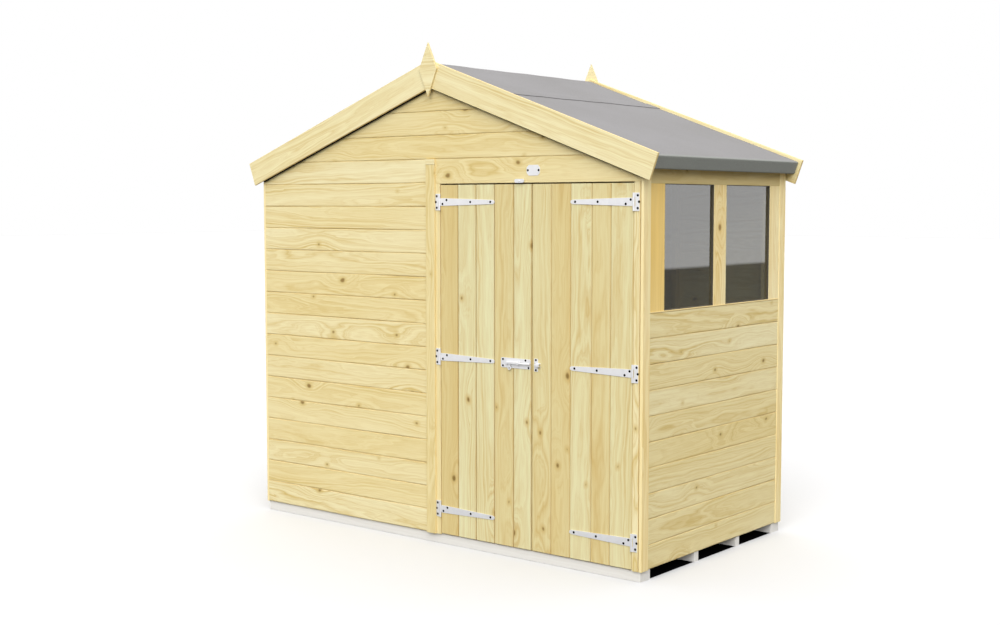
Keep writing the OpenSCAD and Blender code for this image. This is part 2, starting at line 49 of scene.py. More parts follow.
# Camera
# Stands at eye height off the front right corner and looks a little down through a normal lens.
# Its place and lens come from the lines of the cladding.
look_down, look_left = 4.39, 38.79
camera = bpy.data.objects.new("camera", bpy.data.cameras.new("camera"))
camera.location = (4.5515, -5.7931, 1.6684)
camera.rotation_euler = (math.radians(90 - look_down), 0, math.radians(look_left))
camera.data.lens = 50.58
camera.data.sensor_width = 36
scene.collection.objects.link(camera)
scene.camera = camera


# Bearers
# Four sawn spruce battens that run under the floor from side to side and carry the whole shed.
# They are rough off the saw, with eased arrises, and paler than the planed boards above.
chance = np.random.default_rng(20)


def linear(code):
    """Linear colour of an sRGB hex code: ((c + 0.055) / 1.055) to the power 2.4, or c / 12.92 near black."""
    c = np.array([int(code[i:i + 2], 16) for i in (1, 3, 5)]) / 255
    return (*np.where(c > 0.04045, ((c + 0.055) / 1.055) ** 2.4, c / 12.92), 1.0)


def add(tree, kind, inputs=None, **fields):
    """Adds one node, sets its fields, and gives each input a plain value or another node's output."""
    made = tree.nodes.new("ShaderNode" + kind)
    for key, value in fields.items():
        setattr(made, key, value)
    for key, value in (inputs or {}).items():
        if isinstance(value, bpy.types.NodeSocket):
            tree.links.new(value, made.inputs[key])
        else:
            made.inputs[key].default_value = value
    return made


def blank(name):
    """A new material with an empty node tree."""
    material = bpy.data.materials.new(name)
    material.use_nodes = True
    material.node_tree.nodes.clear()
    return material, material.node_tree


def softwood(name, pale, warm, late, knot, edge, knots=0.4, figure=0.6, roughness=0.62):
    """Softwood read from the grain attribute, which gives metres along, across and through the log.
    Growth bands are noise over the distance from the pith, bent by slower noise and pushed aside by knots,
    which sit in cells of 450 by 125 mm. The bands are about 12 mm apart and the fibres 3 mm wide, coarser
    than real ones so that they show. The tone attribute tells boards apart, and sawn edges and ends take the
    edge colour."""
    material, tree = blank(name)
    grain = add(tree, "Attribute", attribute_name="grain").outputs["Vector"]
    tone = add(tree, "Attribute", attribute_name="tone").outputs["Fac"]
    sawn = add(tree, "Attribute", attribute_name="edge").outputs["Fac"]
    waves_per_metre, fibres_per_metre = (1.7, 10.0, 10.0), (6, 330, 330)
    band, band_sway, knot_sway = 0.012, (0, 0.06, 0.06), (0.05, 0.02, 0)
    cell_size, knot_r, swirl_reach, swirl = (0.45, 0.125, 1.0), 0.014, 0.085, 3.2
    knot_oval, swirl_oval = (np.array(cell_size) * (stretch, 1, 0) for stretch in (0.75, 0.4))
    board_share, patch_share, edge_share = 0.75, 0.25, 0.6

    # Distance from the pith, bent by the slow noise.
    slow = add(tree, "VectorMath", {0: grain, 1: waves_per_metre}, operation="MULTIPLY").outputs[0]
    sway = add(tree, "TexNoise", {"Vector": slow, "Scale": 1.0, "Detail": 3.0,
                                  "Roughness": 0.55}).outputs["Color"]
    sway = add(tree, "VectorMath", {0: sway, 1: (0.5, 0.5, 0.5)}, operation="SUBTRACT").outputs[0]
    bent = add(tree, "VectorMath", {0: sway, 1: band_sway, 2: grain}, operation="MULTIPLY_ADD").outputs[0]
    bent = add(tree, "VectorMath", {0: bent, 1: (0, 1, 1)}, operation="MULTIPLY").outputs[0]
    radius = add(tree, "VectorMath", {0: bent}, operation="LENGTH").outputs["Value"]

    # Knots: a dark core and a warm halo in some of the cells.
    place = add(tree, "VectorMath", {0: sway, 1: knot_sway, 2: grain}, operation="MULTIPLY_ADD").outputs[0]
    place = add(tree, "VectorMath", {0: place, 1: cell_size}, operation="DIVIDE").outputs[0]
    cell = add(tree, "TexVoronoi", {"Vector": place, "Scale": 1.0}, voronoi_dimensions="2D")
    away = add(tree, "VectorMath", {0: place, 1: cell.outputs["Position"]}, operation="SUBTRACT").outputs[0]
    near = add(tree, "VectorMath", {0: away, 1: knot_oval}, operation="MULTIPLY").outputs[0]
    reach = add(tree, "VectorMath", {0: near}, operation="LENGTH").outputs["Value"]
    far = add(tree, "VectorMath", {0: away, 1: swirl_oval}, operation="MULTIPLY").outputs[0]
    sweep = add(tree, "VectorMath", {0: far}, operation="LENGTH").outputs["Value"]
    lot = add(tree, "SeparateColor", {0: cell.outputs["Color"]}).outputs[0]
    size = add(tree, "MapRange", {"Value": lot, "From Min": 1 - knots, "From Max": 1.0,
                                  "To Max": knot_r}).outputs[0]
    inside = add(tree, "Math", {0: size, 1: reach}, operation="SUBTRACT").outputs[0]
    core = add(tree, "MapRange", {"Value": inside, "From Min": -0.001, "From Max": 0.007,
                                  "To Max": 0.9}).outputs[0]
    halo = add(tree, "MapRange", {"Value": inside, "From Min": -0.016, "From Max": 0.003,
                                  "To Max": 0.75}).outputs[0]
    present = add(tree, "Math", {0: size, 1: 0.001}, operation="GREATER_THAN").outputs[0]
    halo = add(tree, "Math", {0: halo, 1: present}, operation="MULTIPLY").outputs[0]

    # Growth bands, swept round the knots and faded in patches, with fibres over them.
    push = add(tree, "MapRange", {"Value": sweep, "From Max": swirl_reach, "To Min": swirl, "To Max": 0.0},
               interpolation_type="SMOOTHERSTEP").outputs[0]
    radius = add(tree, "Math", {0: push, 1: size, 2: radius}, operation="MULTIPLY_ADD").outputs[0]
    turns = add(tree, "Math", {0: radius, 1: 1 / band}, operation="MULTIPLY").outputs[0]
    bands = add(tree, "TexNoise", {"W": turns, "Scale": 1.0, "Detail": 3.0, "Roughness": 0.6},
                noise_dimensions="1D").outputs[0]
    bands = add(tree, "MapRange", {"Value": bands, "From Min": 0.40, "From Max": 0.74}).outputs[0]
    patch = add(tree, "TexNoise", {"Vector": slow, "Scale": 0.8, "Detail": 1.0}).outputs["Fac"]
    patch = add(tree, "MapRange", {"Value": patch, "From Min": 0.3, "From Max": 0.7}).outputs[0]
    fade = add(tree, "MapRange", {"Value": patch, "To Min": 0.35, "To Max": figure + 0.35}).outputs[0]
    bands = add(tree, "Math", {0: bands, 1: fade}, operation="MULTIPLY").outputs[0]
    fine = add(tree, "VectorMath", {0: grain, 1: fibres_per_metre}, operation="MULTIPLY").outputs[0]
    fibre = add(tree, "TexNoise", {"Vector": fine, "Scale": 1.0, "Detail": 2.0}).outputs["Fac"]
    fibre = add(tree, "MapRange", {"Value": fibre, "From Min": 0.4, "From Max": 0.8,
                                   "To Max": 0.35}).outputs[0]
    lines = add(tree, "Math", {0: bands, 1: fibre}, operation="ADD", use_clamp=True).outputs[0]

    # The board's own tone, then late wood, knots and sawn edges over it.
    patch = add(tree, "Math", {0: patch, 1: patch_share}, operation="MULTIPLY").outputs[0]
    tone = add(tree, "Math", {0: tone, 1: board_share, 2: patch}, operation="MULTIPLY_ADD").outputs[0]
    colour = add(tree, "Mix", {0: tone, 6: linear(pale), 7: linear(warm)}, data_type="RGBA").outputs[2]
    colour = add(tree, "Mix", {0: lines, 6: colour, 7: linear(late)}, data_type="RGBA").outputs[2]
    colour = add(tree, "Mix", {0: halo, 6: colour, 7: linear(late)}, data_type="RGBA").outputs[2]
    colour = add(tree, "Mix", {0: core, 6: colour, 7: linear(knot)}, data_type="RGBA").outputs[2]
    sawn = add(tree, "Math", {0: sawn, 1: edge_share}, operation="MULTIPLY").outputs[0]
    colour = add(tree, "Mix", {0: sawn, 6: colour, 7: linear(edge)}, data_type="RGBA").outputs[2]
    bump = add(tree, "Bump", {"Height": lines, "Strength": 0.3, "Distance": 0.0005}).outputs[0]
    skin = add(tree, "BsdfPrincipled", {"Base Color": colour, "Roughness": roughness,
                                        "Specular IOR Level": 0.3, "Normal": bump}).outputs[0]
    add(tree, "OutputMaterial", {"Surface": skin})
    return material


def planed(width, thickness, arris):
    """Section of a planed board: a rectangle whose four corners are quarter circles of three points."""
    turn = np.radians([0, 45, 90, 90, 135, 180, 180, 225, 270, 270, 315, 360])
    side = np.array([1, 1, 1, -1, -1, -1, -1, -1, -1, 1, 1, 1]), np.array([1] * 6 + [-1] * 6)
    width, thickness = np.broadcast_arrays(np.atleast_1d(width), np.atleast_1d(thickness))
    a = side[0] * (width[:, None] / 2 - arris) + arris * np.cos(turn)
    b = side[1] * (thickness[:, None] / 2 - arris) + arris * np.sin(turn)
    return np.stack([a, b], -1)


def boards(section, start, end, across, cut=(0, 0), wander=0.0, stations=2, edges=True, tone=None):
    """Boards, each a closed section carried along a straight line. A point (a, b) of the section lies a along
    the across direction and b along the direction square to it and to the line. An end is cut on the slant
    by its slope times a, and the line wanders sideways by two sines. The grain of a board counts from a pith
    that lies beside it and drifts along it, and its tone is one number. Faces that run through the board, and
    its ends, are marked as edges."""
    log_length, pith_side, pith_near, pith_spread, pith_drift = 40, 0.1, 0.035, 0.07, 0.06
    full_turn, slow_wave, quick_wave = 6.283, 7, 15
    start, end, across = (np.atleast_2d(np.asarray(v, float)) for v in (start, end, across))
    start, end, across = np.broadcast_arrays(start, end, across)
    count, points = len(start), np.shape(section)[-2]
    section = np.broadcast_to(section, (count, points, 2))
    length = np.linalg.norm(end - start, axis=1)
    along = (end - start) / length[:, None]
    through = np.cross(along, across)

    # Places: stations along the line, with the section at each.
    share = np.linspace(0, 1, stations)
    a, b = section[:, None, :, 0], section[:, None, :, 1]
    cut = np.broadcast_to(np.asarray(cut, float), (count, 2))
    slant = cut[:, :1] * (1 - share) + cut[:, 1:] * share
    run = share[None, :, None] * length[:, None, None] + slant[:, :, None] * a
    phase = chance.random((count, 2, 1)) * full_turn
    sway = wander * (np.sin(slow_wave * share + phase[:, 0]) + 0.5 * np.sin(quick_wave * share + phase[:, 1]))
    spots = (start[:, None, None] + run[..., None] * along[:, None, None]
             + (a + sway[..., None])[..., None] * across[:, None, None]
             + np.broadcast_to(b, run.shape)[..., None] * through[:, None, None])

    # Grain and tone: each board is cut from its own log.
    log = chance.random((count, 5))
    drift = (log[:, 3:] - 0.5) * pith_drift
    grain = np.stack([run + log[:, :1, None] * log_length,
                      a + (log[:, 1:2, None] - 0.5) * pith_side + drift[:, :1, None] * run,
                      b + pith_near + log[:, 2:3, None] * pith_spread + drift[:, 1:, None] * run], -1)
    shade = chance.random(count)
    shade = shade if tone is None else np.broadcast_to(tone, count)
    tones = np.broadcast_to(shade[:, None, None], run.shape)

    # Faces: quads round the section between stations, and one cap at each end.
    first = np.arange(count)[:, None, None] * stations * points
    ring = np.arange(stations - 1)[None, :, None] * points
    k = np.arange(points)
    after = (k + 1) % points
    quads = np.stack([first + ring + k, first + ring + after, first + ring + points + after,
                      first + ring + points + k], -1).reshape(-1, 4)
    caps = np.concatenate([first[:, 0] + k[::-1], first[:, 0] + (stations - 1) * points + k])
    run_a, run_b = (abs(np.roll(section[..., i], -1, 1) - section[..., i]) for i in (0, 1))
    wide = (np.ptp(section[..., 0], 1) > np.ptp(section[..., 1], 1))[:, None]
    edge = np.repeat((np.where(wide, run_b, run_a) / (run_a + run_b))[:, None], stations - 1, 1).ravel()
    edge = np.concatenate([edge * edges, np.full(len(caps), float(edges))])
    return {"spots": spots.reshape(-1, 3), "faces": quads.tolist() + caps.tolist(),
            "grain": grain.reshape(-1, 3), "tone": tones.reshape(-1), "edge": edge}


def timbers(lo, hi, arris=0.0015, tone=None):
    """Squared timbers that fill boxes, each with its line and grain along the longest side of its box and its
    face across the next longest."""
    lo, hi = np.atleast_2d(lo), np.atleast_2d(hi)
    size, middle = hi - lo, (lo + hi) / 2
    thin, wide, long = np.argsort(size, 1).T
    row = np.arange(len(lo))
    unit = np.eye(3)
    half = unit[long] * size[row, long][:, None] / 2
    section = planed(size[row, wide], size[row, thin], arris)
    return boards(section, middle - half, middle + half, unit[wide], tone=tone)


def piece(name, body, material, parts, stands_for=(), smooth=None):
    """One object from parts that each give spots, faces and any attributes, riding on a body."""
    mesh = bpy.data.meshes.new(name)
    first = np.cumsum([0] + [len(p["spots"]) for p in parts])
    faces = [[int(base) + k for k in face] for p, base in zip(parts, first) for face in p["faces"]]
    mesh.from_pydata(np.concatenate([p["spots"] for p in parts]).tolist(), [], faces)
    for label in [key for key in parts[0] if key not in ("spots", "faces")]:
        values = np.concatenate([p[label] for p in parts])
        kind, field = ("FLOAT_VECTOR", "vector") if values.ndim == 2 else ("FLOAT", "value")
        domain = "POINT" if len(values) == len(mesh.vertices) else "FACE"
        mesh.attributes.new(label, kind, domain).data.foreach_set(field, values.ravel())
    if smooth:
        mesh.shade_smooth()
        mesh.set_sharp_from_angle(angle=math.radians(smooth))
    mesh.materials.append(material)
    mesh.validate()
    made = bpy.data.objects.new(name, mesh)
    scene.collection.objects.link(made)
    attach(made, body)
    if stands_for:
        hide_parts(*stands_for)


# Spruce straight off the saw: dull, nearly white, with little figure.
sawn_spruce = softwood("sawn_spruce", "#f6f4f0", "#eeebe5", "#dcd8ce", "#a89a80", "#ece9e3", 0.3, 0.4, 0.85)
bearer_arris = 0.002
bearer_nodes = ("front_bearer", "second_bearer", "third_bearer", "back_bearer")
bearer_lo, bearer_hi = zip(*(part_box(node) for node in bearer_nodes))
piece("bearers", "shed", sawn_spruce, [timbers(bearer_lo, bearer_hi, bearer_arris)], bearer_nodes)


# Floor
# Tongued pine boards nailed across the bearers from the front to the back.
# Their upper arrises are eased, so that a fine line shows at every joint.
floor_count, floor_play = 21, 0.0004
# Pine off the saw: dry and matt, a shade greyer than the planed boards.
sawn_pine = softwood("sawn_pine", "#e6d6a5", "#dcc78c", "#c8ac6c", "#8a6a38", "#d9bd7a", roughness=0.75)
floor_lo, floor_hi = map(np.array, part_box("floor"))
floor_edges = np.linspace(floor_lo[0], floor_hi[0], floor_count + 1)
floor_boxes = (np.array([[x + floor_play, floor_lo[1], floor_lo[2]] for x in floor_edges[:-1]]),
               np.array([[x - floor_play, floor_hi[1], floor_hi[2]] for x in floor_edges[1:]]))
piece("floor_boards", "shed", sawn_pine, [timbers(*floor_boxes)], ["floor"])


# Wall frames
# Studs and rails of sawn pine that stand on the floor behind the cladding and are nailed at their ends.
# The side frames' top rails are lowered by the fall of the roof across their depth.
pitch = math.radians(20)
rise_per_run, run_per_rise = math.tan(pitch), 1 / math.tan(pitch)
same_level = 0.001


def solids(node):
    """Lowest and highest corner of each solid in a CAD node. Every corner starts with its own number, and
    each triangle hands its lowest number to its corners until nothing changes."""
    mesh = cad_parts[node].data
    spots = np.empty(len(mesh.vertices) * 3)
    mesh.vertices.foreach_get("co", spots)
    spots = spots.reshape(-1, 3)
    faces = np.empty(len(mesh.loops), int)
    mesh.loops.foreach_get("vertex_index", faces)
    same = np.unique(spots.round(5), axis=0, return_inverse=True)[1].reshape(-1)
    faces = same[faces].reshape(-1, 3)
    label = np.arange(same.max() + 1)
    last = None
    while last is None or (last != label).any():
        last = label.copy()
        np.minimum.at(label, faces.ravel(), np.repeat(last[faces].min(1), 3))
    owner = label[same]
    found = np.unique(owner)
    lowest = np.array([spots[owner == k].min(0) for k in found])
    highest = np.array([spots[owner == k].max(0) for k in found])
    return lowest, highest


for name in ("front", "back"):
    part = timbers(*solids(name + "_frame"))
    piece(name + "_framing", "shed", sawn_pine, [part], [name + "_frame"])
for name in ("left", "right"):
    lo, hi = solids(name + "_frame")
    deep = hi[:, 0] - lo[:, 0]
    eaves = hi[:, 2] > hi[:, 2].max() - same_level
    hi[eaves, 2] -= deep[eaves] * rise_per_run
    piece(name + "_framing", "shed", sawn_pine, [timbers(lo, hi)], [name + "_frame"])


# Wall cladding
# Planed pine shiplap, 12 mm thick and 115 mm to the weather, nailed to the studs from the bottom up.
# Each board's top arris is scooped hollow and its lower arris rounded, which draws the shadow lines.
cover, eave_gap, bead_h, panel_gap = 0.115, 0.005, 0.005, 0.001
low_cover = cover - 0.004
# Planed pine: pale straw with a soft sheen, honey bands and a few brown knots.
planed_pine = softwood("planed_pine", "#f4eabf", "#ecdaa1", "#d6bb74", "#8c6f3a", "#ead093")


def shiplap(height, tongue, rebate):
    """Section of a shiplap board, up and out of the wall: a quarter ellipse eases the lower outer corner, a
    hollow one takes away the upper corner, and a tongue at the back runs up into the next board's rebate."""
    thickness, joint_gap, play, scoop, ease = 0.012, 0.0006, 0.0005, (0.002, 0.003), (0.006, 0.005)
    turn = np.radians([0, 30, 60, 90])
    top, low, face = height / 2, -height / 2 + joint_gap, thickness / 2
    lip = -face + thickness / 3
    hollow = np.stack([top - scoop[0] * np.sin(turn), face - scoop[1] * np.cos(turn)], -1)
    lower = np.stack([low + ease[0] * (1 - np.sin(turn)), face - ease[1] * (1 - np.cos(turn))], -1)
    back = [[low + rebate, -face], [top + tongue, -face], [top + tongue, lip], [top, lip]]
    return np.concatenate([back, hollow, lower, [[low, lip + play], [low + rebate, lip + play]]])


def laid(edges):
    """Sections of boards laid one over the other between the given levels. The top board has hardly any
    tongue and the bottom one hardly any rebate."""
    tongue, rebate, trace = 0.006, 0.007, 0.0003
    heights = np.diff(edges)
    tongues = np.append(np.full(len(heights) - 1, tongue), trace)
    rebates = np.insert(np.full(len(heights) - 1, rebate), 0, trace)
    return np.array([shiplap(*sizes) for sizes in zip(heights, tongues, rebates)])


def courses(start, end, z_low, z_high, first=cover):
    """Shiplap from z_low to z_high, on a line from start to end in plan. The last board is ripped to what is
    left, or left wider where the rest would be a sliver."""
    sliver, stations, wander = 0.020, 13, 0.0005
    edges = np.concatenate([[z_low], np.arange(z_low + first, z_high - sliver, cover), [z_high]])
    z = (edges[:-1] + edges[1:])[:, None] / 2
    line = [np.hstack([np.tile(p, (len(z), 1)), z]) for p in (start, end)]
    return [boards(laid(edges), *line, (0, 0, 1), wander=wander, stations=stations)]


def middle_of(node):
    """Corners of a CAD node as arrays, with the middle of its box."""
    lo, hi = map(np.array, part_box(node))
    return lo, hi, (lo + hi) / 2


# The left wall stops just under the roof boards, and the right wall under the bead of the sill.
lo, hi, mid = middle_of("front_wall")
front_courses = courses((lo[0], mid[1]), (hi[0], mid[1]), lo[2], hi[2])
piece("front_boards", "shed", planed_pine, front_courses, ["front_wall"])
lo, hi, mid = middle_of("left_wall")
left_courses = courses((mid[0], hi[1]), (mid[0], lo[1]), lo[2], hi[2] - eave_gap)
piece("left_boards", "shed", planed_pine, left_courses, ["left_wall"])
lo, hi, mid = middle_of("right_wall")
right_courses = courses((mid[0], lo[1]), (mid[0], hi[1]), lo[2], hi[2] - bead_h, low_cover)
piece("right_boards", "shed", planed_pine, right_courses, ["right_wall"])
lo, hi, mid = middle_of("back_wall")
back_courses = courses((hi[0], mid[1]), (panel_gap, mid[1]), lo[2], hi[2])
back_courses += courses((-panel_gap, mid[1]), (lo[0], mid[1]), lo[2], hi[2])
piece("back_boards", "shed", planed_pine, back_courses, ["back_wall"])


# Gables
# The same shiplap, sawn on the slope at both ends so that it closes the triangle under the roof.
# Behind it a tie, a king post and two rafters of sawn pine carry the roof boards.
# The gable boards all take one warm tone, darker than most wall boards: painted shade under the bargeboards
# and eaves.
wall_half, least_top, tip_cut, gable_shade_tone = 1.219, 0.06, 0.008, 0.85
gable_cut, rafter_cut = (run_per_rise, -run_per_rise), (-rise_per_run, run_per_rise)
for name, facing in (("front", -1), ("back", 1)):
    lo, hi, mid = middle_of(name + "_gable")
    edges = np.append(np.arange(lo[2], hi[2] - least_top, cover), hi[2] - tip_cut)
    z = (edges[:-1] + edges[1:]) / 2
    run = wall_half - (z - lo[2]) / rise_per_run
    left, right = (np.stack([sign * facing * run, np.full(len(z), mid[1]), z], -1) for sign in (1, -1))
    part = boards(laid(edges), left, right, (0, 0, 1), gable_cut, edges=False, tone=gable_shade_tone)
    part["spots"][:, 0] = np.clip(part["spots"][:, 0], lo[0], hi[0])
    piece(name + "_gable_boards", "shed", planed_pine, [part], [name + "_gable"])
tie_h, post_w, rafter_d, frame_d, frame_arris = 0.028, 0.028, 0.045, 0.038, 0.0015
joint_play, post_top_gap = 0.001, 0.006
lo, hi = middle_of("gable_frames")[:2]
eave_z = lo[2]
foot = eave_z + tie_h + joint_play
tie_x, tie_z = hi[0] - tie_h / 2 / rise_per_run, eave_z + tie_h / 2
inner, drop = post_w / 2 + joint_play, rafter_d / 2 / math.cos(pitch)
top_z = eave_z + (wall_half - inner) * rise_per_run - drop
end_x = wall_half - (foot + drop - eave_z) / rise_per_run
parts = []
for y in (lo[1] + frame_d / 2, hi[1] - frame_d / 2):
    tie = (-tie_x, y, tie_z), (tie_x, y, tie_z)
    parts.append(boards(planed(tie_h, frame_d, frame_arris), *tie, (0, 0, 1), gable_cut))
    post = (-post_w / 2, y - frame_d / 2, foot), (post_w / 2, y + frame_d / 2, hi[2] - post_top_gap)
    parts.append(timbers(*post))
    for side in (-1, 1):
        rafter = (side * inner, y, top_z), (side * end_x, y, foot)
        upward = (side * math.sin(pitch), 0, math.cos(pitch))
        parts.append(boards(planed(rafter_d, frame_d, frame_arris), *rafter, upward, rafter_cut))
piece("gable_framing", "shed", sawn_pine, parts, ["gable_frames"])


# Window boards
# Wide planed stiles of a warmer pine stand between the sill and a head board, and frame two panes. The head
# board is the darker sawn pine at its warmest tone, which paints the shade under the eave.
# They are nailed to the studs, and a thin bead covers the top of the shiplap along the sill.
front_tone, middle_tone, rear_tone, bead_tone, head_tone = 1.0, 0.2, 0.0, 0.9, 1.0
bead_out, bead_arris = 0.002, 0.001
# Honey pine: heartwood that is warm yellow where a board's tone is high and cream where it is low.
honey_pine = softwood("honey_pine", "#fff3c6", "#f3cd70", "#e4c274", "#94703a", "#faeab4", 0.2)
lo, hi = solids("window_boards")
order = np.argsort(lo[:, 1])
lo, hi = lo[order], hi[order]
part = timbers(lo[:2], hi[:2], tone=[front_tone, middle_tone])
piece("honey_stiles", "shed", honey_pine, [part])
part = timbers(lo[2:], hi[2:], tone=rear_tone)
piece("rear_stile", "shed", honey_pine, [part], ["window_boards"])
bead_lo, bead_hi = np.array(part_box("right_wall"))
bead_lo[2] = bead_hi[2] - bead_h
bead_hi[0] += bead_out
piece("sill_bead", "shed", honey_pine, [timbers(bead_lo, bead_hi, bead_arris, bead_tone)])
# The head board's darker sawn pine at full tone is painted shade from the eave over it.
lo, hi = map(np.array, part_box("window_header"))
hi[2] -= (hi[0] - lo[0]) * rise_per_run
piece("window_head", "shed", sawn_pine, [timbers(lo, hi, tone=head_tone)], ["window_header"])


# Panes
# Two sheets of clear glazing, cut square and pinned behind the stiles on the framing.
# They are fixed, so they keep still with the walls.
def coat(node, material):
    """Gives a CAD node one material in place of its plain one."""
    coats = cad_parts[node].data.materials
    coats.clear()
    coats.append(material)


# Clear sheet: it shows a dim inside and a bright mirror of what stands outside, rippled a very little. Only
# its outer face mirrors, and more strongly than plain glass, so that it reads as bright in this even light.
glazing, tree = blank("clear_glazing_sheet")
where = add(tree, "TexCoord").outputs["Object"]
ripple = add(tree, "TexNoise", {"Vector": where, "Scale": 3.0, "Detail": 0.0}).outputs["Fac"]
bump = add(tree, "Bump", {"Height": ripple, "Strength": 0.02, "Distance": 0.01}).outputs[0]
mirror = add(tree, "BsdfGlossy", {"Color": linear("#fbfbfa"), "Roughness": 0.01, "Normal": bump}).outputs[0]
clear = add(tree, "BsdfTransparent", {"Color": linear("#dcdedc")}).outputs[0]
inner_face = add(tree, "NewGeometry").outputs["Backfacing"]
outer_face = add(tree, "Math", {0: 1.0, 1: inner_face}, operation="SUBTRACT").outputs[0]
gloss = add(tree, "Fresnel", {"IOR": 3.3}).outputs[0]
share = add(tree, "Math", {0: gloss, 1: outer_face}, operation="MULTIPLY").outputs[0]
skin = add(tree, "MixShader", {0: share, 1: clear, 2: mirror}).outputs[0]
add(tree, "OutputMaterial", {"Surface": skin})
coat("window_panes", glazing)


# Sealing strips, with painted shade
# A bead of black mastic along the four cut edges round each pane, run in from outside and tooled square.
# It closes the joint between the boards and the sheet, and its dark paints the shade of the deep reveals.
lap, strip_w, strip_d, strip_arris = 0.010, 0.003, 0.010, 0.0005


def speckled(name, dark, light, specks_per_metre, roughness, gloss=0.5):
    """A dull coat that noise mottles between two near colours, so many specks to the metre."""
    material, tree = blank(name)
    where = add(tree, "TexCoord").outputs["Object"]
    speck = add(tree, "TexNoise", {"Vector": where, "Scale": specks_per_metre, "Detail": 2.0}).outputs["Fac"]
    colour = add(tree, "Mix", {0: speck, 6: linear(dark), 7: linear(light)}, data_type="RGBA").outputs[2]
    skin = add(tree, "BsdfPrincipled", {"Base Color": colour, "Roughness": roughness,
                                        "Specular IOR Level": gloss}).outputs[0]
    add(tree, "OutputMaterial", {"Surface": skin})
    return material


# Black mastic: a dull brown black with faint specks, drawn about 4 mm apart so that they show. The brown is
# painted shade, the colour of the reveals' wood in shadow.
reveal_shade_mastic = speckled("black_reveal_shade_mastic", "#433d31", "#564e3f", 250.0, 0.55)
pane_lo, pane_hi = solids("window_panes")
lo, hi = pane_lo + (0, lap, lap), pane_hi - (0, lap, lap)
lo[:, 0], hi[:, 0] = hi[:, 0], hi[:, 0] + strip_d
strips = [(lo, np.column_stack([hi[:, 0], lo[:, 1] + strip_w, hi[:, 2]])),
          (np.column_stack([lo[:, 0], hi[:, 1] - strip_w, lo[:, 2]]), hi),
          (lo, np.column_stack([hi[:, 0], hi[:, 1], lo[:, 2] + strip_w])),
          (np.column_stack([lo[:, 0], lo[:, 1], hi[:, 2] - strip_w]), hi)]
piece("glazing_strips", "shed", reveal_shade_mastic, [timbers(*box, strip_arris) for box in strips])


# Door surround, corner trims and cover strips
# Planed boards that close the doorway's head and sides, the corners and the joints between the panels.
# They are nailed over the ends of the shiplap. A short pale block stops the head of each cover strip.
lean, corner_gap, right_half = 0.0025, 0.004, 0.6
post_arris, trim_arris, block_arris = 0.001, 0.002, 0.001
door_head_tone, trim_tone, block_tone = 0.8, 0.2, 0.0
block_h, block_play = 0.026, 0.0005
lo, hi = solids("door_posts")
on_right = lo[:, 0] > right_half
lo[:, 0] -= np.where(on_right, lean, 0)
hi[:, 0] += np.where(on_right, -corner_gap, lean)
piece("door_post_boards", "shed", planed_pine, [timbers(lo, hi, post_arris)], ["door_posts"])
part = timbers(*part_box("door_header"), tone=door_head_tone)
piece("door_head", "shed", planed_pine, [part], ["door_header"])
lo, hi = solids("corner_trims")
hi[:, 2] -= (hi[:, 0] - lo[:, 0]) * rise_per_run
part = timbers(lo, hi, trim_arris, trim_tone)
piece("corner_boards", "shed", honey_pine, [part], ["corner_trims"])
lo, hi = solids("cover_strips")
foot, head = lo.copy(), hi.copy()
foot[:, 2], head[:, 2] = hi[:, 2] - block_h + block_play, hi[:, 2] - block_h - block_play
parts = [timbers(lo, head, trim_arris), timbers(foot, hi, block_arris, block_tone)]
piece("joint_strips", "shed", planed_pine, parts, ["cover_strips"])


# Roof boards and rails
# Tongued boards of sawn pine laid from gable to gable on rails, purlins and the gable rafters.
# Only their undersides show, at the eaves and from inside.
slope_cos, slope_sin = math.cos(pitch), math.sin(pitch)
ridge_z, bed = 2.3317, 0.0002
roof_z = ridge_z + bed
roof_end, roof_t, roof_count, roof_play, roof_arris = 1.3560, 0.012, 12, 0.0008, 0.001
ridge_cut, eave_cut = 0.008, 0.006
roof_y = np.array([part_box("left_roof")[0][1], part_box("left_roof")[1][1]])


def on_slope(side, s, h, y):
    """Places in the frame of points s down a slope from the ridge and h over the boards' underside, at y."""
    s, h, y = np.broadcast_arrays(s, h, y)
    return np.stack([side * (s * slope_cos + h * slope_sin), y, roof_z - s * slope_sin + h * slope_cos], -1)


edges = np.linspace(ridge_cut, roof_end - eave_cut, roof_count + 1)
section = planed(np.diff(edges) - roof_play, roof_t, roof_arris)
middle_s = (edges[:-1] + edges[1:]) / 2
for side, name in ((-1, "left"), (1, "right")):
    line = [on_slope(side, middle_s, roof_t / 2, y) for y in roof_y]
    part = boards(section, *line, (side * slope_cos, 0, -slope_sin))
    piece(name + "_roof_boards", "shed", sawn_pine, [part], [name + "_roof"])
rail_w, rail_d, rail_arris, purlin_y = 0.034, 0.046, 0.0015, 0.602
ridge_rail_s, purlin_s = 0.040, 0.650
rail_s = np.array([ridge_rail_s, purlin_s, roof_end - rail_w]) + rail_w / 2
rail_y = np.array([purlin_y, purlin_y, roof_y[1]])
parts = []
for side in (-1, 1):
    line = [on_slope(side, rail_s, -rail_d / 2, y) for y in (-rail_y, rail_y)]
    parts.append(boards(planed(rail_w, rail_d, rail_arris), *line, (side * slope_cos, 0, -slope_sin)))
piece("roof_rail_timbers", "shed", sawn_pine, parts, ["roof_rails"])


# Roofing felt
# Bitumen felt with a grey mineral face, in three strips: one along each eave, turned down over the edge, and
# one over the ridge that laps them both. It is bedded on the boards, so it shows slight waves.
felt_t, seam_s, lap_s, flap, bend, hem, felt_smooth = 0.003, 0.482, 0.075, 0.064, 0.006, 0.020, 40
fall_top, fall_low = 1.890, 1.878


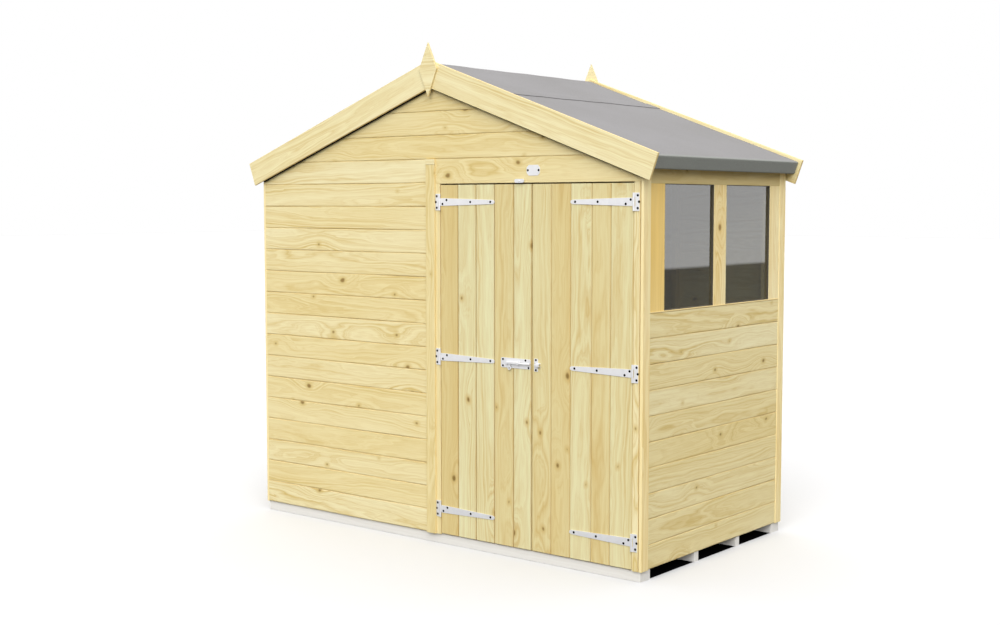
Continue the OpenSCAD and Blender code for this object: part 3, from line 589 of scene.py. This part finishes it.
def felt_strip(outer, inner):
    """A strip of felt from its outer and inner lines across the roof, each x and z, carried along the ridge.
    Waves of up to a millimetre, the sum of two sines, run along it and die out towards the eaves."""
    wave_h, still_x, fade_x, rows = 0.0005, 1.2, 0.2, 41
    line = np.concatenate([outer, inner[::-1]])
    y = np.linspace(*roof_y, rows)[:, None]
    fade = wave_h * np.clip((still_x - abs(line[:, 0])) / fade_x, 0, 1)
    wave = fade * (np.sin(9 * y + 14 * line[:, 0]) + np.sin(23 * y - 6 * line[:, 0]))
    spots = np.stack(np.broadcast_arrays(line[:, 0], y, line[:, 1] + wave), -1)
    n = len(line)
    k = np.arange(n)
    after = (k + 1) % n
    ring = np.arange(rows - 1)[:, None] * n
    quads = np.stack([ring + k, ring + n + k, ring + n + after, ring + after], -1).reshape(-1, 4)
    i = np.arange(n // 2 - 1)
    ends = np.stack([i, i + 1, n - 2 - i, n - 1 - i], -1)
    ends = np.concatenate([ends, ends[:, ::-1] + (rows - 1) * n])
    return {"spots": spots.reshape(-1, 3), "faces": quads.tolist() + ends.tolist()}


# Mineral felt: a matt grey with slow cloudy patches and grit. Real grit is about 1 mm; it is drawn about 6 mm
# wide so that it shows. The part that is turned down at the eaves is a little paler and greener.
mineral_felt, tree = blank("mineral_felt")
where = add(tree, "TexCoord").outputs["Object"]
grit = add(tree, "TexNoise", {"Vector": where, "Scale": 160.0, "Detail": 3.0,
                              "Roughness": 0.7}).outputs["Fac"]
patch = add(tree, "TexNoise", {"Vector": where, "Scale": 2.2, "Detail": 2.0}).outputs["Fac"]
patch = add(tree, "MapRange", {"Value": patch, "From Min": 0.3, "From Max": 0.7}).outputs[0]
colour = add(tree, "Mix", {0: patch, 6: linear("#888686"), 7: linear("#8e8c8d")}, data_type="RGBA").outputs[2]
height = add(tree, "SeparateXYZ", {0: where}).outputs["Z"]
fall = add(tree, "MapRange", {"Value": height, "From Min": fall_top, "From Max": fall_low}).outputs[0]
colour = add(tree, "Mix", {0: fall, 6: colour, 7: linear("#979a94")}, data_type="RGBA").outputs[2]
speck = add(tree, "MapRange", {"Value": grit, "From Min": 0.35, "From Max": 0.65, "To Max": 0.35}).outputs[0]
colour = add(tree, "Mix", {0: speck, 6: colour, 7: linear("#767574")}, data_type="RGBA").outputs[2]
bump = add(tree, "Bump", {"Height": grit, "Strength": 0.3, "Distance": 0.001}).outputs[0]
skin = add(tree, "BsdfPrincipled", {"Base Color": colour, "Roughness": 0.9, "Specular IOR Level": 0.2,
                                    "Normal": bump}).outputs[0]
add(tree, "OutputMaterial", {"Surface": skin})

# The eave strips: flat down the slope, round the upper bend, down the flap and round into a hem.
flat_points, down_points, bend_points = 24, 5, 9
turn = np.radians(np.linspace(90, 0, bend_points))
edge_s, top_h = roof_end + felt_t, roof_t + felt_t
bend_s, bend_h, low_h = edge_s - bend, top_h - bend, top_h - flap + bend
flat = np.linspace(seam_s - lap_s, bend_s, flat_points)
down = np.linspace(bend_h, low_h, down_points + 2)[1:-1]
for side, name in ((-1, "left"), (1, "right")):
    lines = []
    for r in (bend, bend - felt_t):
        s = np.concatenate([flat, bend_s + r * np.cos(turn[1:]), np.full(down_points, bend_s + r),
                            bend_s + r * np.cos(turn[::-1]), [edge_s - hem]])
        h = np.concatenate([np.full(flat_points, bend_h + r), bend_h + r * np.sin(turn[1:]), down,
                            low_h - r * np.sin(turn[::-1]), [low_h - r]])
        lines.append(on_slope(side, s, h, 0)[::side, ::2])
    part = felt_strip(*lines)
    piece(name + "_felt_strip", "shed", mineral_felt, [part], [name + "_felt"], felt_smooth)

# The ridge strip: it lies on the eave strips at its laps and is crowned a little over the ridge.
step, crown_h, crown_w, crown_top = 0.001, 0.004, 0.08, 0.0005
lap_line, slope_line = np.linspace(seam_s, seam_s - lap_s, 6), np.linspace(seam_s - lap_s - 0.02, 0.03, 12)
s = np.concatenate([lap_line, slope_line, [0.02, 0.01, 0.003]])
rise = np.where(s > seam_s - lap_s - step, felt_t, 0) + crown_h * np.exp(-(s / crown_w) ** 2)
lines = []
for h in (roof_t + felt_t + bed, roof_t + bed):
    right = on_slope(1, s, h + rise, 0)[::-1, ::2]
    lines.append(np.concatenate([right[::-1] * (-1, 1), [[0, right[0, 1] + crown_top]], right]))
part = felt_strip(*lines)
piece("ridge_felt_strip", "shed", mineral_felt, [part], ["ridge_felt"], felt_smooth)


# Bargeboards
# Planed boards nailed over the ends of the roof boards at both gables, plumb cut where they meet.
# They hide the ends of the boards and rails.
barge_h, barge_low, barge_end, barge_arris = 0.125, -0.095, 1.376, 0.002
# Bright pine: picked clear boards, the palest pine on the shed, with quiet grain.
bright_pine = softwood("bright_pine", "#f7eec4", "#eee0ac", "#d6bb74", "#a9803f", "#ecc673",
                       knots=0.001, figure=0.5, roughness=0.55)
middle_h = barge_low + barge_h / 2
for name in ("front", "back"):
    for side, hand in ((-1, "left"), (1, "right")):
        node = f"{name}_{hand}_bargeboard"
        lo, hi, mid = middle_of(node)
        line = [on_slope(side, s, middle_h, mid[1]) for s in (-middle_h * rise_per_run, barge_end)]
        section = planed(barge_h, hi[1] - lo[1], barge_arris)
        part = boards(section, *line, (side * slope_sin, 0, slope_cos), (-rise_per_run, 0))
        piece(f"{name}_{hand}_barge", "shed", bright_pine, [part], [node])


# Verge felt, as painted shade
# The ends of the roofing felt, folded down behind the bargeboards with their bitumen side out. Their black is
# painted shade in the slot behind the boards, and a few millimetres hang below the boards and draw a black
# line there as painted shadow.
fold, fold_top, fold_low, fold_arris = 0.009, -0.002, barge_low - 0.004, 0.001
fold_ridge, fold_end = 0.001, roof_end - 0.040
# Bitumen: a dull black with a faint mottle, drawn about 5 mm wide so that it shows. Its black paints the
# shade behind and under the bargeboards.
verge_shade_felt = speckled("bitumen_painted_shade", "#0b0b0b", "#1d1c1a", 220.0, 0.8, 0.1)
middle_h = (fold_low + fold_top) / 2
section = planed(fold_top - fold_low, fold, fold_arris)
parts = []
for facing in (-1, 1):
    y = facing * (abs(roof_y[0]) - fold / 2)
    for side in (-1, 1):
        line = [on_slope(side, s, middle_h, y) for s in (-middle_h * rise_per_run + fold_ridge, fold_end)]
        parts.append(boards(section, *line, (side * slope_sin, 0, slope_cos), (-rise_per_run, 0)))
piece("verge_felt_shade", "shed", verge_shade_felt, parts)


# Finials
# A kite-shaped board of the same bright pine over each meeting of the bargeboards, with its grain across.
# It is sawn out, its front arrises are eased, and it is nailed through the bargeboards.
waist_h, kite_bevel, kite_tone, kite_edge = 0.132, 0.0015, 0.3, 0.4
log_step, pith_below, pith_behind = 3, 0.03, 0.07


def bevelled(outline, y_back, y_front, bevel):
    """A flat plate: its outline in x and z is carried from the back to the front, and drawn in by the bevel
    at the front, each corner along the line that halves its angle."""
    into = np.roll(outline, -1, 0) - outline
    into /= np.linalg.norm(into, axis=1)[:, None]
    normal = np.stack([-into[:, 1], into[:, 0]], -1)
    before = np.roll(normal, 1, 0)
    miter = (normal + before) / (1 + (normal * before).sum(1))[:, None]
    depth = np.sign(y_front - y_back) * bevel
    rings = [(outline, y_back), (outline, y_front - depth), (outline + miter * bevel, y_front)]
    spots = np.concatenate([np.column_stack([p[:, 0], np.full(len(p), y), p[:, 1]]) for p, y in rings])
    n = len(outline)
    k = np.arange(n)
    after = (k + 1) % n
    ring = np.arange(2)[:, None] * n
    quads = np.stack([ring + k, ring + after, ring + n + after, ring + n + k], -1).reshape(-1, 4)
    caps = np.stack([k[::-1], 2 * n + k])
    faces = quads.tolist() + caps.tolist()
    if y_front > y_back:
        faces = [f[::-1] for f in faces]
    return {"spots": spots, "faces": faces}


for name, facing in (("front", -1), ("back", 1)):
    lo, hi, mid = middle_of(name + "_finial")
    waist = lo[2] + waist_h
    kite = np.array([[mid[0], lo[2]], [hi[0], waist], [mid[0], hi[2]], [lo[0], waist]])
    y_back, y_front = (hi[1], lo[1]) if facing < 0 else (lo[1], hi[1])
    part = bevelled(kite, y_back, y_front, kite_bevel)
    x, y, z = part["spots"].T
    part["grain"] = np.column_stack([x + facing * log_step, z - waist + pith_below, y - mid[1] + pith_behind])
    part["tone"] = np.full(len(x), kite_tone)
    part["edge"] = np.repeat([kite_edge, 0.0], [8, 2])
    piece(name + "_kite", "shed", bright_pine, [part], [name + "_finial"])


# Doors
# Five tongued boards a leaf, with a V at each joint, clenched to three ledges and two braces behind.
# The boards stand upright and the braces rise from the hinge side.
vee, lip, hang, meet = 0.0040, 0.003, 0.0025, 0.001
tones = {"left_door": (0.95, 0.1, 0.15, 0.65, 0.1), "right_door": (0.45, 0.75, 0.15, 0.7, 0.2)}
plays = {"left_door": 0.0016, "right_door": 0.0004}
joints = {"left_door": (0.160, 0.273, 0.386, 0.501), "right_door": (0.720, 0.828, 0.945, 1.047)}
brace_w, brace_arris, least_brace = 0.070, 0.0015, 0.3
# Door pine: cooler and greener than the walls, from pale sapwood to honey. Its edges are a brown that paints
# shade into the joints between the boards.
door_pine = softwood("door_pine", "#e9e6ba", "#dcc484", "#cdae6a", "#80642f", "#b48f52", figure=0.35)


def tongued(width, thickness, play):
    """Section of a tongued board, across and out of the door: a lip at the back touches the next board, the
    rest stands back from it by the play, and both outer corners are cut off."""
    a, b = width / 2, thickness / 2
    half = [[a, -b], [a, lip - b], [a - play, lip - b], [a - play, b - vee], [a - vee, b]]
    return np.array(half + [[-x, y] for x, y in half[::-1]])


for door, inner in joints.items():
    on_left = door == "left_door"
    lo, hi, mid = middle_of(door)
    out = (hang, meet) if on_left else (meet, hang)
    edges = np.array([lo[0] - out[0], *inner, hi[0] + out[1]])
    parts = []
    for x0, x1, tone in zip(edges[:-1], edges[1:], tones[door]):
        section = tongued(x1 - x0, hi[1] - lo[1], plays[door])
        line = [((x0 + x1) / 2, mid[1], z) for z in (hi[2], lo[2])]
        parts.append(boards(section, *line, (1, 0, 0), tone=tone))
    piece(door + "_boards", door, door_pine, parts, [door])
    lo, hi = solids(door + "_ledges")
    tall = hi[:, 2] - lo[:, 2] > least_brace
    parts = [timbers(lo[~tall], hi[~tall])]
    for a, b in zip(lo[tall], hi[tall]):
        y = (a[1] + b[1]) / 2
        ends = a[0] + brace_w / 2, b[0] - brace_w / 2
        x0, x1 = ends if on_left else ends[::-1]
        rise = np.array([x1 - x0, 0, b[2] - a[2]])
        rise /= np.linalg.norm(rise)
        cut = -rise[0] / rise[2]
        section = planed(brace_w * rise[2], b[1] - a[1], brace_arris)
        parts.append(boards(section, (x0, y, a[2]), (x1, y, b[2]), (-rise[2], 0, rise[0]), (cut, cut)))
    piece(door + "_ledge_timbers", door, sawn_pine, parts, [door + "_ledges"])


# Hinges, bolt, turn button and plate
# Pressed steel: tee hinges, a barrel bolt with its keeper, a turn button and a bare eight-sided plate.
# Their shapes are the CAD model's own, and screws hold them to the boards.
metal_nodes = ("left_hinge_straps", "left_hinge_plates", "right_hinge_straps", "right_hinge_plates",
               "bolt_plate", "bolt", "bolt_keeper", "turn_button", "button_screw", "badge_plate")
# Bright zinc plate: a silvery white, half metal to the eye, with soft smears about 20 mm wide and a spangle
# of about 7 mm that varies the gloss.
zinc, tree = blank("bright_zinc_plate")
where = add(tree, "TexCoord").outputs["Object"]
spangle = add(tree, "TexVoronoi", {"Vector": where, "Scale": 140.0}).outputs["Color"]
smear = add(tree, "TexNoise", {"Vector": where, "Scale": 45.0, "Detail": 3.0}).outputs["Fac"]
colour = add(tree, "Mix", {0: smear, 6: linear("#e2e2e5"), 7: linear("#f2f2f3")}, data_type="RGBA").outputs[2]
rough = add(tree, "MapRange", {"Value": spangle, "To Min": 0.32, "To Max": 0.48}).outputs[0]
bump = add(tree, "Bump", {"Height": smear, "Strength": 0.15, "Distance": 0.0005}).outputs[0]
skin = add(tree, "BsdfPrincipled", {"Base Color": colour, "Metallic": 0.5, "Roughness": rough,
                                    "Normal": bump}).outputs[0]
add(tree, "OutputMaterial", {"Surface": skin})
for node in metal_nodes:
    coat(node, zinc)


# Screws
# Round-head steel screws with a cross cut, three to each hinge plate, four to each strap and to the bolt, two
# to the keeper and to the bare plate. They are driven home on the metal.
hinge_screw_r, small_screw_r, screw_smooth = 0.0058, 0.0055, 50
front_y, hinge_t, sheet_t, badge_t, pin_in = -0.653, 0.0025, 0.002, 0.0015, 0.005
plate_x, plate_z = np.array([0.0195, 0.0260, 0.0195]), np.array([0.028, 0, -0.028])
strap_x, strap_z = np.array([0.017, 0.043, 0.192, 0.315]), np.array([0.0095, -0.0095, 0, 0])
bolt_left, bolt_right = np.array([0.012, 0.012]), np.array([-0.030, -0.012])
bolt_z = np.array([0.015, -0.015, 0.017, -0.017])
keeper_x, keeper_z, badge_x = 0.010, np.array([0.0235, -0.0235]), np.array([-0.031, 0.031])
# Black japanned steel: a deep black with hardly any shine and a grain of about 1 mm.
japanned = speckled("black_japanned_steel", "#060607", "#141415", 900.0, 0.6, 0.05)


def screws(x, z, y, r):
    """Round heads with a cross cut. The height falls as the square of the radius, less the cut along two
    lines."""
    hub, dome, cut_w, cut_reach, cut_depth = 0.12, 0.3, 0.13, 0.55, 0.16
    ring, turn = np.linspace(hub, 1, 6), np.radians(np.arange(0, 360, 15))
    u, v = np.outer(ring, np.cos(turn)), np.outer(ring, np.sin(turn))
    cut = (np.minimum(abs(u), abs(v)) < cut_w) & (np.maximum(abs(u), abs(v)) < cut_reach)
    height = dome * (1 - u ** 2 - v ** 2) - cut_depth * cut
    head = np.stack([u * r, -height * r, v * r], -1).reshape(-1, 3)
    n = len(turn)
    k = np.arange(n)
    after = (k + 1) % n
    first = np.arange(len(ring) - 1)[:, None] * n
    quads = np.stack([first + n + k, first + n + after, first + after, first + k], -1).reshape(-1, 4)
    spots = head[None] + np.stack([x, np.full(len(x), y), z], -1)[:, None]
    base = (np.arange(len(x)) * len(head))[:, None, None]
    faces = (quads[None] + base).reshape(-1, 4).tolist() + (k[None] + base[:, 0]).tolist()
    return {"spots": spots.reshape(-1, 3), "faces": faces}


parts = []
for side, hand, door in ((-1, "left", "left_door"), (1, "right", "right_door")):
    lo, hi = solids(hand + "_hinge_plates")
    pin_x = hi.max(0)[0] - pin_in if side < 0 else lo.min(0)[0] + pin_in
    hinge_z = (lo[:, 2] + hi[:, 2]) / 2
    on_plates = np.tile(pin_x + side * plate_x, 3), np.add.outer(hinge_z, plate_z).ravel()
    on_straps = np.tile(pin_x - side * strap_x, 3), np.add.outer(hinge_z, side * strap_z).ravel()
    lo, hi, mid = middle_of("bolt_plate" if side < 0 else "bolt_keeper")
    on_bolt = np.concatenate([lo[0] + bolt_left, hi[0] + bolt_right]), mid[2] + bolt_z
    on_keeper = np.full(2, lo[0] + keeper_x), mid[2] + keeper_z
    parts.append(screws(*on_plates, front_y - hinge_t, hinge_screw_r))
    door_parts = [screws(*on_straps, front_y - hinge_t, hinge_screw_r),
                  screws(*(on_bolt if side < 0 else on_keeper), front_y - sheet_t, small_screw_r)]
    piece(hand + "_door_screws", door, japanned, door_parts, (), screw_smooth)
mid = middle_of("badge_plate")[2]
parts.append(screws(mid[0] + badge_x, np.full(2, mid[2]), front_y - badge_t, small_screw_r))
piece("plate_screws", "shed", japanned, parts, (), screw_smooth)


# Studio
# A wide pale floor under a soft dome that is brightest overhead, one broad light from the front right and a
# weaker one from behind. The camera sees white all round. The panes also mirror a grey card that stands off
# to the right, and a black card lies on the ground under the shed as painted shade.
floor_half, shade_near, shade_far, shade_level = 60, 2.0, 12.0, 0.5
level_low, level_high = 0.22, 1.28
lights = {"broad_light": (60, 2.75, 52, 31.5), "back_light": (120, 1.2, 60, 214)}
card_x, card_top, card_fade, card_front, card_back = 5.0, 1.075, 0.03, -20, 30
under_x, under_y, under_z = 1.205, 0.600, 0.0005
# Floor paint: near white to the camera, with the shed's shadow. It throws little light back on the walls, and
# metal and panes see it grow from grey beside the shed to white farther off, a painted shade for the shed's
# shadow in what they mirror.
floor_paint, tree = blank("studio_floor")
path = add(tree, "LightPath").outputs
dim = add(tree, "BsdfDiffuse", {"Color": linear("#62615e")}).outputs[0]
bright = add(tree, "BsdfDiffuse", {"Color": linear("#d5d5d6")}).outputs[0]
where = add(tree, "TexCoord").outputs["Object"]
away = add(tree, "VectorMath", {0: where}, operation="LENGTH").outputs["Value"]
reflected_floor_shade = add(tree, "MapRange", {"Value": away, "From Min": shade_near, "From Max": shade_far,
                              "To Min": shade_level}).outputs[0]
mirrored = add(tree, "Emission", {"Color": (1, 1, 1, 1), "Strength": reflected_floor_shade}).outputs[0]
bare = add(tree, "MixShader", {0: path["Is Camera Ray"], 1: dim, 2: bright}).outputs[0]
skin = add(tree, "MixShader", {0: path["Is Glossy Ray"], 1: bare, 2: mirrored}).outputs[0]
add(tree, "OutputMaterial", {"Surface": skin})


def staged(name, corners, material):
    """A flat four-cornered sheet that belongs to the studio."""
    mesh = bpy.data.meshes.new(name)
    mesh.from_pydata(corners, [], [(0, 1, 2, 3)])
    mesh.materials.append(material)
    made = bpy.data.objects.new(name, mesh)
    scene.collection.objects.link(made)
    return made


def lying(x, y, z):
    """Corners of a level rectangle about the origin, from its half sizes and its height."""
    return [(-x, -y, z), (x, -y, z), (x, y, z), (-x, y, z)]


staged("studio_floor", lying(floor_half, floor_half, 0), floor_paint)

# Dome: rises from dim at the skyline to bright overhead, and is plain white where it is seen or mirrored.
world = bpy.data.worlds.new("studio")
world.use_nodes = True
tree = world.node_tree
tree.nodes.clear()
path = add(tree, "LightPath").outputs
seen = add(tree, "Math", {0: path["Is Camera Ray"], 1: path["Is Glossy Ray"]}, operation="MAXIMUM").outputs[0]
seen = add(tree, "Math", {0: seen, 1: path["Is Transmission Ray"]}, operation="MAXIMUM").outputs[0]
height = add(tree, "SeparateXYZ", {0: add(tree, "TexCoord").outputs["Generated"]}).outputs["Z"]
level = add(tree, "MapRange", {"Value": height, "To Min": level_low, "To Max": level_high}).outputs[0]
dome = add(tree, "Background", {"Color": (1, 1, 1, 1), "Strength": level}).outputs[0]
white = add(tree, "Background", {"Color": (1, 1, 1, 1), "Strength": 1.0}).outputs[0]
add(tree, "OutputWorld", {"Surface": add(tree, "MixShader", {0: seen, 1: dome, 2: white}).outputs[0]})
scene.world = world

for name, (spread, energy, tilt, heading) in lights.items():
    lamp = bpy.data.objects.new(name, bpy.data.lights.new(name, "SUN"))
    lamp.data.angle = math.radians(spread)
    lamp.data.energy = energy
    lamp.rotation_euler = (math.radians(tilt), 0, math.radians(heading))
    scene.collection.objects.link(lamp)

# Grey card: an even grey whose top edge melts into white, so that its mirror image has a soft upper edge.
grey_card, tree = blank("grey_card")
height = add(tree, "SeparateXYZ", {0: add(tree, "TexCoord").outputs["Object"]}).outputs["Z"]
rise = add(tree, "MapRange", {"Value": height, "From Min": card_top - card_fade,
                              "From Max": card_top}).outputs[0]
colour = add(tree, "Mix", {0: rise, 6: linear("#74736e"), 7: (1, 1, 1, 1)}, data_type="RGBA").outputs[2]
add(tree, "OutputMaterial", {"Surface": add(tree, "Emission", {"Color": colour}).outputs[0]})
card = staged("grey_card", [(card_x, card_front, 0), (card_x, card_back, 0), (card_x, card_back, card_top),
                            (card_x, card_front, card_top)], grey_card)
card.visible_camera = card.visible_diffuse = card.visible_shadow = False

# Black card: painted shade under the shed. It swallows the light between the bearers, so that the gaps read
# as black.
under_shed_shade_card, tree = blank("under_shed_shade_card")
add(tree, "OutputMaterial", {"Surface": add(tree, "BsdfDiffuse", {"Color": linear("#0c0c0c")}).outputs[0]})
staged("under_shed_shade_card", lying(under_x, under_y, under_z), under_shed_shade_card)
